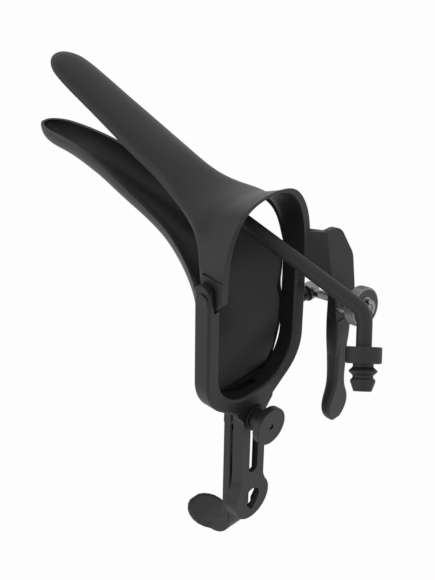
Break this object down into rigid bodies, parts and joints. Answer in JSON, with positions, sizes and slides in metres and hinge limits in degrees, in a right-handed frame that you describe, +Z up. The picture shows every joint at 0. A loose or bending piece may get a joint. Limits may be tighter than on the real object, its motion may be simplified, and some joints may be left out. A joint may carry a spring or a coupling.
{
  "type": "bivalve speculum",
  "caption": "Two-bladed vaginal speculum with sliding yoke, hinged upper blade, screw-held thumb lever, handle clamp and smoke tube.",
  "frame": {"origin": "middle of the upper blade's hinge axis, between the yoke's arms", "axes": "+X across the blades towards the thumb lever, +Y along the blades towards their tips, +Z up from the handle"},
  "size_m": [0.0727, 0.1822, 0.1936],
  "materials": {
    "black_coat": "satin black non-conductive coating",
    "black_coat_tube": "satin black non-conductive coating",
    "black_coat_turned": "satin black non-conductive coating",
    "bare_steel": "fine turned",
    "knurled_steel": "knurled rim"
  },
  "bodies": {
    "base": {"lower_blade": "black_coat", "handle_bar": "black_coat", "clamp_stud": "bare_steel", "clamp_washer": "black_coat_turned"},
    "yoke": {"yoke_frame": "black_coat", "hinge_pin_left": "black_coat_turned", "hinge_pin_right": "black_coat_turned", "screw_pivot_pin": "bare_steel", "pivot_spacer": "black_coat_turned"},
    "upper": {"upper_blade": "black_coat", "thumb_lever": "black_coat", "smoke_tube": "black_coat_tube", "hose_connector": "black_coat_tube", "tube_saddle": "black_coat_tube"},
    "screw": {"adjusting_screw": "bare_steel"},
    "washer": {"thrust_washer": "bare_steel"},
    "nut": {"adjusting_nut": "knurled_steel"},
    "clamp": {"clamp_nut": "black_coat_turned"}
  },
  "joints": [
    {"name": "yoke_slide", "type": "slide", "parent": "base", "child": "yoke", "axis": [0, 0, 1], "range_m": [0, 0.026]},
    {"name": "blade_hinge", "type": "hinge", "parent": "yoke", "child": "upper", "pos_m": [0, 0, 0], "axis": [1, 0, 0], "range_deg": [-12, 20]},
    {"name": "screw_pivot", "type": "hinge", "parent": "yoke", "child": "screw", "pos_m": [0.0345, 0, -0.0244], "axis": [1, 0, 0], "range_deg": [-10, 16]},
    {"name": "nut_travel", "type": "slide", "parent": "screw", "child": "washer", "axis": [0, -0.9816, 0.1908], "range_m": [-0.0085, 0.0052]},
    {"name": "nut_spin", "type": "hinge", "parent": "washer", "child": "nut", "pos_m": [0.0345, -0.01963, -0.02058], "axis": [0, -0.9816, 0.1908], "continuous": true},
    {"name": "clamp_nut_turn", "type": "hinge", "parent": "base", "child": "clamp", "pos_m": [0, -0.009, -0.0685], "axis": [0, -1, 0], "range_deg": [0, 540]}
  ],
  "couplings": [
    {"joint": "screw_pivot", "follows": "blade_hinge", "ratio": 0.75},
    {"joint": "nut_travel", "follows": "blade_hinge", "m_per_rad": -0.0239}
  ]
}
